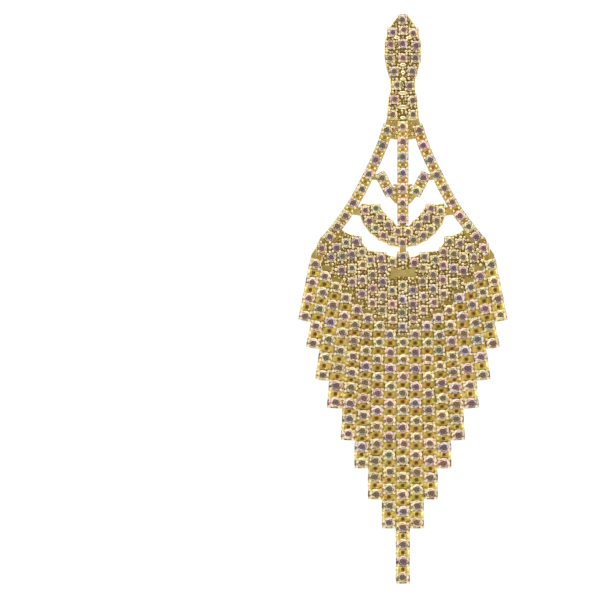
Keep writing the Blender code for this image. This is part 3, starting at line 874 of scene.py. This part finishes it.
SETTING = setting_tree()
SHALLOW_CUP = cup_shape("shallow_cup_pattern", SLAB_BACK)
DEEP_CUP = cup_shape("deep_cup_pattern", CUP_BACK)
STONE = stone_shape("stone_pattern")
ROW_STRAP = strap_shape(
    "row_strap_pattern", ROW_LINK_FRONT, SLAB_BACK, ROW_STRAP_RISE, ROW_POCKET_PAINTED_SHADE, ROW_LOBE_PAINTED_LIGHT
)
STRAND_STRAP = strap_shape(
    "strand_strap_pattern", LINK_FRONT, CUP_BACK, STRAND_STRAP_RISE, STRAND_POCKET_PAINTED_SHADE, STRAND_LOBE_PAINTED_LIGHT
)
BEAD = bead_shape("bead_pattern", GIRDLE)
LOW_BEAD = bead_shape("low_bead_pattern", LOW_GRAINS)
PATTERNS = (SHALLOW_CUP, DEEP_CUP, STONE, ROW_STRAP, STRAND_STRAP, BEAD, LOW_BEAD)


def seat_points(name, seats):
    """A mesh of loose points, each with its seat's turn, reach and width."""
    mesh = bpy.data.meshes.new(name)
    mesh.from_pydata([(seat[0].x, 0, seat[0].y) for seat in seats], [], [])
    for label, column in (("turn", 1), ("reach", 2), ("width", 3)):
        values = mesh.attributes.new(label, "FLOAT", "POINT")
        for i, seat in enumerate(seats):
            values.data[i].value = seat[column]
    loose = bpy.data.objects.new(name + "_points", mesh)
    bpy.context.collection.objects.link(loose)
    return loose


def set_stones(name, seats, cup, link, scale, tilt, seed):
    """seats: rows of (point, turn, reach, width); reach is 0 for a cup with its stone."""
    loose = seat_points(name, seats)
    modifier = loose.modifiers.new("set", "NODES")
    modifier.node_group = SETTING
    given = {
        "Cup": cup, "Stone": STONE, "Link": link, "Cup Scale": scale,
        "Stone Tilt": tilt, "Seed": seed, "Metal": CUP_GOLD, "Crystal": CRYSTAL,
    }
    for item in SETTING.interface.items_tree:
        if item.in_out == "INPUT" and item.name in given:
            modifier[item.identifier] = given[item.name]
    graph = bpy.context.evaluated_depsgraph_get()
    solid = bpy.data.meshes.new_from_object(loose.evaluated_get(graph))
    solid.name = name
    bpy.data.objects.remove(loose, do_unlink=True)
    made = bpy.data.objects.new(name, solid)
    bpy.context.collection.objects.link(made)
    return made


def along_path(stones, widths, seed):
    """Seats for a chain: each cup turned along the chain, each strap between two."""
    shake = random.Random(seed)
    seats = []
    for i, stone in enumerate(stones):
        step = stones[min(i + 1, len(stones) - 1)] - stones[max(i - 1, 0)]
        askew = math.radians(shake.uniform(-CUP_SHAKE_DEGREES, CUP_SHAKE_DEGREES))
        seats.append((stone, math.atan2(-step.x, -step.y) + askew, 0.0, widths[i]))
    for i, (one, two) in enumerate(zip(stones, stones[1:])):
        step = two - one
        reach = step.length - CUP_RADIUS * (2 - STRAP_TUCK)
        wide = (widths[i] + widths[i + 1]) / 2
        seats.append(((one + two) / 2, math.atan2(-step.x, -step.y), reach, wide))
    return seats


def joined(name, objects):
    """Several meshes made one."""
    first = objects[0]
    with bpy.context.temp_override(
        active_object=first, object=first, selected_objects=objects,
        selected_editable_objects=objects,
    ):
        bpy.ops.object.join()
    first.name = name
    first.data.name = name
    return first


def finish_piece(piece, nodes):
    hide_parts(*nodes)
    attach(piece, "root")


def drawn_in(outline, inset):
    """An outline, run against the clock, moved inwards at each of its points."""
    shrunk = []
    for i, point in enumerate(outline):
        before = (point - outline[i - 1]).normalized()
        after = (outline[(i + 1) % len(outline)] - point).normalized()
        inward = Vector((-before.y, before.x)) + Vector((-after.y, after.x))
        shrunk.append(point + inward.normalized() * inset)
    return shrunk


def plate(name, outline, front, back, inset, ground):
    """A flat plate inside an outline, its edges rounded and given painted highlights, its ground
    given painted shade by a value below zero.
    """
    area = sum(a.x * b.y - b.x * a.y for a, b in zip(outline, outline[1:] + outline[:1]))
    if area < 0:
        outline = outline[::-1]
    bm = new_form()
    near = ring(bm, [(p.x, front, p.y) for p in drawn_in(outline, inset)])
    rim = ring(bm, [(p.x, front + RIM_DROP, p.y) for p in outline])
    far = ring(bm, [(p.x, back, p.y) for p in outline])
    paint_shade_or_highlight(bm, [bm.faces.new(near)], ground)
    bm.faces.new(far)
    paint_shade_or_highlight(bm, bridge(bm, near, rim), PLATE_EDGE_PAINTED_HIGHLIGHT)
    paint_shade_or_highlight(bm, bridge(bm, rim, far), PLATE_SIDE_PAINTED_HIGHLIGHT)
    return mesh_object(name, bm, [CUP_GOLD])


def inside_outline(point, outline):
    """Whether a point lies inside a closed outline, by the edges to its right."""
    crossings = 0
    for a, b in zip(outline, outline[1:] + outline[:1]):
        if (a.y > point.y) != (b.y > point.y):
            if a.x + (point.y - a.y) / (b.y - a.y) * (b.x - a.x) > point.x:
                crossings += 1
    return crossings % 2 == 1


def bar_seats(bars):
    """Seats for bars on the middle line, or on both sides of it."""
    seats = []
    for centre, width, height in bars:
        sides = (1, -1) if centre[0] > 0 else (1,)
        for flip in sides:
            seats.append((at(centre, flip), 0.0, height * LENGTH, width * LENGTH))
    return seats


def crowded(spot, size, grains):
    """Whether a grain of that size would crowd one that is there."""
    return any(
        abs(spot.x - other.x) < (size + wide) * GRAIN_REACH
        and abs(spot.y - other.y) < (size + high) * GRAIN_REACH
        for other, _, high, wide in grains
    )


def grain_seats(outline, stones, bars, seed):
    """Seats for grains of many sizes, thrown one by one where the plate shows, after
    the bars, each (centre, width, height) in shares."""
    shake = random.Random(seed)
    low = Vector((min(p.x for p in outline), min(p.y for p in outline)))
    high = Vector((max(p.x for p in outline), max(p.y for p in outline)))
    tries = int((high.x - low.x) * (high.y - low.y) / GRAIN_WIDTH ** 2 * GRAIN_TRIES)
    bow = closed(points(BOW))
    grains = bar_seats(bars)
    for _ in range(tries):
        spot = Vector((shake.uniform(low.x, high.x), shake.uniform(low.y, high.y)))
        size = GRAIN_WIDTH * shake.uniform(SMALLEST_GRAIN, LARGEST_GRAIN)
        clear = min(max(abs(spot.x - s.x), abs(spot.y - s.y)) for s in stones)
        if clear < CUP_RADIUS * FIELD_SCALE + size * GRAIN_CLEARANCE:
            continue
        if inside_outline(spot, bow) or crowded(spot, size, grains):
            continue
        reach = size * GRAIN_REACH
        corners = [spot + Vector((x, y)) * reach for x in (-1, 1) for y in (-1, 1)]
        if all(inside_outline(corner, outline) for corner in corners):
            grains.append((spot, 0.0, size, size))
    return grains


def eye_outline(first, second, pin, half):
    """The strap round a pin: up from the first cup on one side and down on the other."""
    along = (pin - first).normalized()
    side = Vector((along.y, -along.x))
    up = (first - second).normalized()
    foot = first + up * CUP_RADIUS * EYE_FOOT_SHARE
    shoulder = first + up * (CUP_RADIUS + EYE_SHOULDER)
    reach = PIN_RADIUS + PIN_PLAY
    brow, top = pin + along * (reach + EYE_RIM * 0.5), pin + along * (reach + EYE_RIM)
    right = [
        foot + side * half, shoulder + side * half, pin + side * EYE_WIDTH / 2,
        brow + side * EYE_WIDTH / 2, top + side * EYE_WIDTH * EYE_TOP_SHARE,
    ]
    left = [
        top - side * EYE_WIDTH * EYE_TOP_SHARE, brow - side * EYE_WIDTH / 2,
        pin - side * EYE_WIDTH / 2, shoulder - side * half, foot - side * half,
    ]
    turns = [math.radians(degrees) for degrees in EYE_HOLE_DEGREES]
    hole = [pin + reach * (math.sin(a) * along + math.cos(a) * side) for a in turns]
    return right + left, hole


def hanging_eye(name, first, second, pin, half):
    """The strap from a strand's first cup up over its pin, with a hole for the pin."""
    outer, hole = eye_outline(first, second, pin, half)
    bm = new_form()
    rings = []
    for outline, depth in (
        (outer, LINK_FRONT), (hole, LINK_FRONT), (hole, EYE_BACK), (outer, EYE_BACK),
    ):
        rings.append(ring(bm, [(p.x, depth, p.y) for p in outline]))
    for one, two in zip(rings, rings[1:] + rings[:1]):
        bridge(bm, one, two)
    return mesh_object(name, bm, [CUP_GOLD])


# The chains, fields and fringe

def dress_rows():
    """The stem, rails and leaves: rows of cups with a strap between each two."""
    stem = evenly(at(STEM_FIRST), at(STEM_LAST), STEM_COUNT)
    rows = (
        ("centre_stem", stem, 11),
        ("right_rail", points(RAIL_STONES), 12), ("left_rail", points(RAIL_STONES, -1), 13),
        ("right_leaf", points(LEAF_STONES), 14), ("left_leaf", points(LEAF_STONES, -1), 15),
    )
    for node, stones, seed in rows:
        seats = along_path(stones, [1.0] * len(stones), seed)
        piece = set_stones(node + "_cups", seats, SHALLOW_CUP, ROW_STRAP, 1.0, ROW_TILT, seed)
        finish_piece(piece, [node])


def dress_webs():
    """Grains and bars on the frame's webs, clear of the rows that cross them."""
    rows = evenly(at(STEM_FIRST), at(STEM_LAST), STEM_SAMPLES)
    for flip in (1, -1):
        for start, end in (RAIL_STONES[:2], LEAF_STONES):
            rows += evenly(at(start, flip), at(end, flip), ROW_SAMPLES)
    seats = []
    for web, bars in ((NECK_WEB, ()), (LEAF_WEB, WEB_BARS)):
        seats += grain_seats(closed(points(web)), rows, bars, WEB_SEED)
    grains = set_stones("web_grains", seats, SHALLOW_CUP, LOW_BEAD, 1.0, 0.0, WEB_TONE_SEED)
    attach(grains, "root")


def v_outline():
    """The V's outline: stepped under its lowest stones, then its top, on both sides."""
    edge, hem = V_RIM_SHARE * LENGTH, V_HEM_SHARE * LENGTH
    low = points(V_LOWEST)
    right = [Vector((0, low[0].y - hem))]
    for number, (here, after) in enumerate(zip(low, low[1:]), 1):
        _, centres, halves = dressed_strand(number)
        corner = max(here.x + edge, centres[0].x - halves[0] + STEP_GAP)
        right.append(Vector((corner, here.y - hem)))
        right.append(Vector((corner, centres[0].y + CUP_RADIUS + STEP_GAP)))
        right.append(Vector((max(after.x, corner), after.y - hem)))
    right.append(Vector((low[-1].x + edge, low[-1].y - hem)))
    return closed(right + points(V_TOP))


def dress_fields():
    """The head, crescent and V: stones, grains and bars on a plate."""
    head, crescent = closed(points(HEAD_OUTLINE)), closed(points(CRESCENT_OUTLINE))
    fields = (
        ("head_cluster", both(HEAD_MIDDLE, HEAD_SIDE), head, HEAD_BARS, 21),
        ("crescent", both(CRESCENT_MIDDLE, CRESCENT_SIDE), crescent, (), 22),
        ("v_yoke", both(V_MIDDLE, V_LOWEST[1:] + V_UPPER), v_outline(), (), 23),
    )
    for node, stones, outline, bars, seed in fields:
        seats = [(stone, 0.0, 0.0, FIELD_SCALE) for stone in stones]
        seats += grain_seats(outline, stones, bars, seed)
        parts = [
            set_stones(node + "_work", seats, SHALLOW_CUP, BEAD, FIELD_SCALE, FIELD_TILT, seed),
            plate(node + "_plate", outline, FIELD_PLATE, SLAB_BACK, FIELD_INSET, FIELD_GROUND_PAINTED_SHADE),
        ]
        if node == "v_yoke":
            bow = closed(points(BOW))
            parts.append(plate("bow", bow, BOW_PLATE, SLAB_BACK, BOW_INSET, BOW_GROUND_PAINTED_LIGHT))
        finish_piece(joined(node + "_setting", parts), [node])


def strand_points(number):
    """The pin and the stones of one strand, counted outwards from the middle."""
    count, start, end = STRANDS[abs(number)]
    flip = -1 if number < 0 else 1
    one, two = at(start, flip), at(end, flip)
    return at(V_LOWEST[abs(number)], flip), evenly(one, two, count)


def side_room(centre, other):
    """Half of the clear distance from a cup's centre to a neighbour's line."""
    if abs(other) == len(STRANDS):
        return STRAND_WIDTH / 2
    pin, stones = strand_points(other)
    beyond = (stones[-1] - stones[0]).normalized() * CUP_RADIUS * 2
    room = LENGTH
    for one, two in ((pin, stones[0]), (stones[0] - beyond, stones[-1] + beyond)):
        share = intersect_point_line(centre, one, two)[1]
        nearest = one.lerp(two, min(max(share, 0.0), 1.0))
        room = min(room, (centre - nearest).length - STRAND_GAP)
    return (room if room < WIDEST_STRAND else STRAND_WIDTH) / 2


def dressed_strand(number):
    """A strand's pin, its cups' centres and half widths, up to its neighbours on both sides."""
    pin, stones = strand_points(number)
    along = (stones[-1] - stones[0]).normalized()
    side = Vector((-along.y, along.x))
    centres, halves = [], []
    for stone in stones:
        left, right = side_room(stone, number - 1), side_room(stone, number + 1)
        if abs(number) + 1 == len(STRANDS):
            left = right = min(left, right)
        centres.append(stone + side * (right - left) / 2)
        halves.append((left + right) / 2)
    return pin, centres, halves


def dress_fringe():
    """The seventeen strands, each with the eye that hangs it on its pin."""
    last = len(STRANDS) - 1
    for number in range(-last, last + 1):
        pin, stones, halves = dressed_strand(number)
        node = f"strand_{number + last + 1:02d}"
        widths = [half / CUP_RADIUS for half in halves]
        chain = set_stones(
            node + "_chain", along_path(stones, widths, STRAND_SEED + number),
            DEEP_CUP, STRAND_STRAP, 1.0, STRAND_TILT, STRAND_TONE_SEED + number,
        )
        eye = hanging_eye(node + "_eye", stones[0], stones[1], pin, halves[0] - EYE_INSET)
        finish_piece(joined(node + "_cups", [chain, eye]), [node])


def dress_metal():
    """New finishes on the frame and the post, which keep their own shapes."""
    for node, finish in (("backing_frame", CAST_GOLD), ("ear_post", POST_GOLD)):
        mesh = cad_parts[node].data
        mesh.materials.clear()
        mesh.materials.append(finish)


# Floor, lights and camera: sizes and places in metres, power in watts
FLOOR_LEVEL = -1.3
FLOOR_HALF = 4
CAMERA_DISTANCE = 0.8
AIM = (0, 0, -0.045)
WARM_LIGHT = (1.0, 0.93, 0.84)
PLAIN_LIGHT = (1.0, 0.98, 0.95)
# Name, place, width, height, power and colour
SOFTBOXES = (
    ("softbox_left", (-1.1, -0.9, 0.5), 1.2, 1.5, 7.0, PLAIN_LIGHT),
    ("softbox_right", (1.2, -0.8, 0.1), 1.0, 1.5, 6.0, WARM_LIGHT),
    ("softbox_top", (0.1, -0.7, 1.2), 1.8, 1.1, 7.0, PLAIN_LIGHT),
    ("softbox_low", (-0.2, -0.9, -0.9), 1.4, 0.7, 3.5, WARM_LIGHT),
)
# The room's tints from below to above, and the tint round the camera
ROOM_TINTS = (
    (0.0, 0.10, 0.07, 0.04), (0.35, 0.18, 0.15, 0.12),
    (0.55, 0.42, 0.40, 0.37), (1.0, 0.75, 0.74, 0.72),
)
CAMERA_SIDE_TINT = (0.37, 0.345, 0.318, 1)
CAMERA_SIDE_RANGE = (-0.55, -0.97)
WHITE = (1, 1, 1, 1)
ROOM_STRENGTH = 1.05


def stage_floor():
    corners = ((-1, -1), (1, -1), (1, 1), (-1, 1))
    bm = bmesh.new()
    bm.faces.new(ring(bm, [(x * FLOOR_HALF, y * FLOOR_HALF, FLOOR_LEVEL) for x, y in corners]))
    floor = mesh_object("studio_floor", bm)
    material, tree, shader = new_material("pale_floor")
    fill(tree, shader, {"Base Color": (0.9, 0.9, 0.9, 1), "Roughness": 0.8})
    floor.data.materials.append(material)


def softbox(name, place, width, height, power, colour):
    """A soft rectangular light aimed at the earring, itself out of the camera's sight."""
    lamp = bpy.data.lights.new(name, "AREA")
    lamp.shape = "RECTANGLE"
    lamp.size, lamp.size_y = width, height
    lamp.energy = power
    lamp.color = colour
    made = bpy.data.objects.new(name, lamp)
    made.location = place
    made.rotation_euler = (Vector(AIM) - Vector(place)).to_track_quat("-Z", "Y").to_euler()
    made.visible_camera = False
    bpy.context.collection.objects.link(made)


def studio():
    """White behind and round the earring, with a dark side where the camera stands."""
    world = bpy.data.worlds.new("studio")
    world.use_nodes = True
    bpy.context.scene.world = world
    tree = world.node_tree
    tree.nodes.clear()
    place = add(tree, "ShaderNodeTexCoord").outputs["Generated"]
    parts = add(tree, "ShaderNodeSeparateXYZ", {0: place}).outputs
    front = remap(tree, parts["Y"], *CAMERA_SIDE_RANGE, "SMOOTHSTEP")
    room = tint(tree, remap(tree, parts["Z"], -1.0, 1.0), ROOM_TINTS)
    around = blend(tree, front, room, CAMERA_SIDE_TINT)
    seen = add(tree, "ShaderNodeLightPath").outputs["Is Camera Ray"]
    given = {"Color": blend(tree, seen, around, WHITE), "Strength": ROOM_STRENGTH}
    light = add(tree, "ShaderNodeBackground", given).outputs[0]
    add(tree, "ShaderNodeOutputWorld", {"Surface": light})
    for lamp in SOFTBOXES:
        softbox(*lamp)


def photo_camera():
    """Level with the middle of the photograph and far off, as through a long lens."""
    metres_a_pixel = LENGTH / EARRING_HEIGHT
    across, down = MIDDLE_LINE - PHOTO_SIDE / 2, POST_LEVEL - PHOTO_SIDE / 2
    width = PHOTO_SIDE * metres_a_pixel
    lens = bpy.data.cameras.new("photo_camera")
    lens.lens = lens.sensor_width * CAMERA_DISTANCE / width
    lens.clip_start, lens.clip_end = 0.01, 20.0
    camera = bpy.data.objects.new("photo_camera", lens)
    camera.location = (-across * metres_a_pixel, -CAMERA_DISTANCE, down * metres_a_pixel)
    camera.rotation_euler = (math.pi / 2, 0, 0)
    bpy.context.collection.objects.link(camera)
    bpy.context.scene.camera = camera
    bpy.context.scene.view_settings.view_transform = "Standard"


dress_rows()
dress_webs()
dress_fields()
dress_fringe()
dress_metal()
for pattern in PATTERNS:
    bpy.data.objects.remove(pattern, do_unlink=True)
stage_floor()
studio()
photo_camera()
